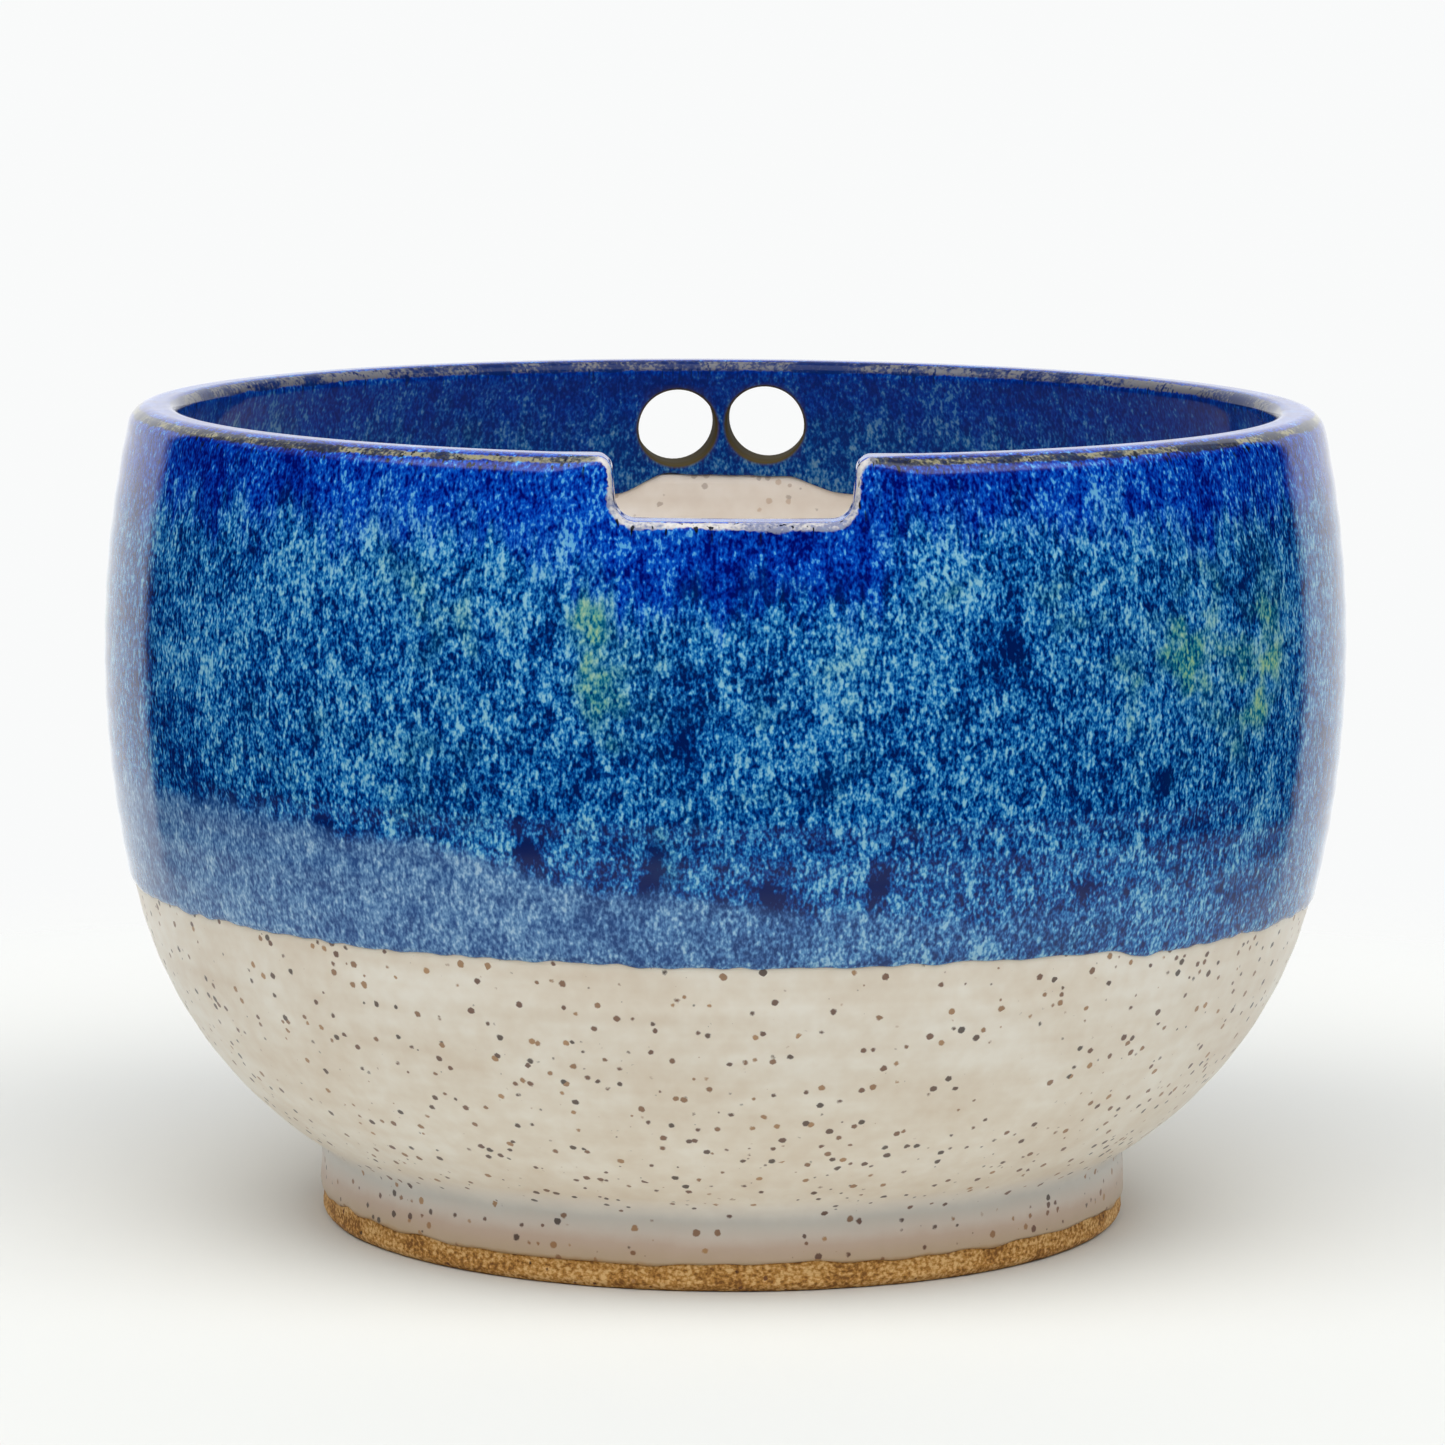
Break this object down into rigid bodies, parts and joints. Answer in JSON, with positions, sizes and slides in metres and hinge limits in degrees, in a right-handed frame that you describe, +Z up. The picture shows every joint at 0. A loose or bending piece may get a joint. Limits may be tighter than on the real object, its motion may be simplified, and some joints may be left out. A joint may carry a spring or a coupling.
{
  "type": "yarn bowl",
  "caption": "Round stoneware bowl on a foot ring that keeps a ball of yarn, with a wide notch in the rim for the strand and round holes through the wall opposite for needles.",
  "frame": {"origin": "centre of the circle that the foot ring stands on", "axes": "+Z up along the pot's axis, -Y towards the notch in the rim, +Y towards the round holes"},
  "size_m": [0.15, 0.15, 0.0986],
  "materials": {
    "stoneware_bowl": "matt",
    "stoneware_foot": "matt, toasted",
    "cream_glaze_outside": "satin, iron speckled",
    "cream_glaze_inside": "satin",
    "rutile_blue_glaze": "gloss, mottled"
  },
  "bodies": {
    "root": {"thrown_bowl": "stoneware_bowl", "foot_ring": "stoneware_foot", "white_glaze_outside": "cream_glaze_outside", "white_glaze_inside": "cream_glaze_inside", "blue_glaze": "rutile_blue_glaze"}
  },
  "joints": []
}
